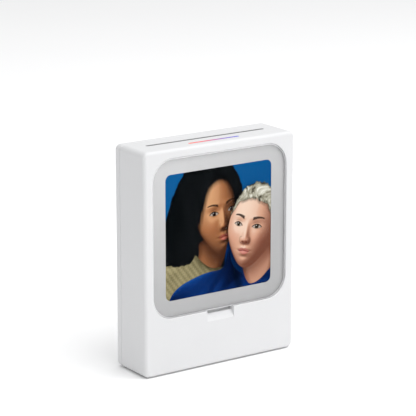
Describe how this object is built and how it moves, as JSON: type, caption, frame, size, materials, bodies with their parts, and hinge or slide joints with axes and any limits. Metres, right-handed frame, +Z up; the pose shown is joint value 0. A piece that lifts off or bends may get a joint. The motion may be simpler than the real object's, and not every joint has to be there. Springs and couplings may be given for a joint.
{
  "type": "digital photo frame",
  "caption": "Free-standing digital photo frame: white box with a square display behind a lift-off window, a top slot into a store for paper prints, and a lift-off rear cover.",
  "frame": {"origin": "middle of the footprint, on the plane the feet stand on", "axes": "+Z up, the window faces -Y, +X to the right as seen from the front; millimetres in the source, metres in the row"},
  "size_m": [0.1146, 0.0336, 0.145],
  "materials": {
    "front_shell": "fine satin moulded ABS, white",
    "rear_cover": "fine satin moulded ABS, white",
    "rubber_feet": "soft moulded rubber",
    "window_lens": "clear polished acrylic",
    "border_mask": "silver-grey printed film, clear over the picture",
    "window_magnets": "nickel-plated magnet discs",
    "window_keepers": "plated steel discs",
    "cover_magnets": "nickel-plated magnet discs",
    "cover_keepers": "plated steel discs",
    "lcd_panel": "polarised display glass, picture shown in its active area",
    "display_gasket": "closed-cell foam",
    "diffuser_sheet": "translucent film",
    "light_guide": "clear acrylic with printed dots",
    "backlight_tray": "pressed steel sheet",
    "display_carrier": "black glass-filled moulding",
    "main_board": "green solder mask",
    "shield_can": "tinned steel",
    "processor_chip": "black epoxy",
    "radio_module": "tinned steel lid on a module board",
    "board_chips": "black epoxy",
    "ribbon_sockets": "ivory connector plastic",
    "battery_socket": "ivory connector plastic",
    "charging_port": "drawn stainless steel shell",
    "port_tongue": "black insert with gold contacts",
    "power_button": "satin moulded ABS, white",
    "power_switch": "black switch housing",
    "switch_plunger": "red switch plunger",
    "battery_pack": "laminated foil pouch",
    "battery_tape": "double-sided foam tape",
    "light_bar": "frosted light pipe",
    "light_board": "white solder mask",
    "lamps": "surface-mounted lamps with clear domes",
    "inner_cover": "dark grey moulding",
    "threaded_inserts": "knurled brass",
    "inner_cover_screws": "blackened steel",
    "carrier_screws": "zinc-plated steel",
    "board_screws": "zinc-plated steel",
    "light_board_screws": "zinc-plated steel",
    "display_ribbon": "amber polyimide with copper tracks",
    "light_ribbon": "amber polyimide with copper tracks",
    "battery_leads": "insulated wire"
  },
  "bodies": {
    "case": {"backlight_tray": "backlight_tray", "battery_leads": "battery_leads", "battery_pack": "battery_pack", "battery_socket": "battery_socket", "battery_tape": "battery_tape", "board_chips": "board_chips", "board_screws": "board_screws", "carrier_screws": "carrier_screws", "charging_port": "charging_port", "cover_keepers": "cover_keepers", "diffuser_sheet": "diffuser_sheet", "display_carrier": "display_carrier", "display_gasket": "display_gasket", "display_ribbon": "display_ribbon", "front_shell": "front_shell", "inner_cover": "inner_cover", "inner_cover_screws": "inner_cover_screws", "lamps": "lamps", "lcd_panel": "lcd_panel", "light_bar": "light_bar", "light_board": "light_board", "light_board_screws": "light_board_screws", "light_guide": "light_guide", "light_ribbon": "light_ribbon", "main_board": "main_board", "port_tongue": "port_tongue", "power_switch": "power_switch", "processor_chip": "processor_chip", "radio_module": "radio_module", "ribbon_sockets": "ribbon_sockets", "rubber_feet": "rubber_feet", "shield_can": "shield_can", "threaded_inserts": "threaded_inserts", "window_keepers": "window_keepers"},
    "window": {"window_lens": "window_lens", "border_mask": "border_mask", "window_magnets": "window_magnets"},
    "cover": {"rear_cover": "rear_cover", "cover_magnets": "cover_magnets"},
    "button": {"power_button": "power_button", "switch_plunger": "switch_plunger"}
  },
  "joints": [
    {"name": "window_lift", "type": "slide", "parent": "case", "child": "window", "axis": [0, -1, 0], "range_m": [0, 0.02]},
    {"name": "cover_lift", "type": "slide", "parent": "case", "child": "cover", "axis": [0, 1, 0], "range_m": [0, 0.03]},
    {"name": "button_press", "type": "slide", "parent": "case", "child": "button", "axis": [-1, 0, 0], "range_m": [0, 0.0004], "stiffness_N_per_m": 3000, "springref_m": -0.0002}
  ]
}
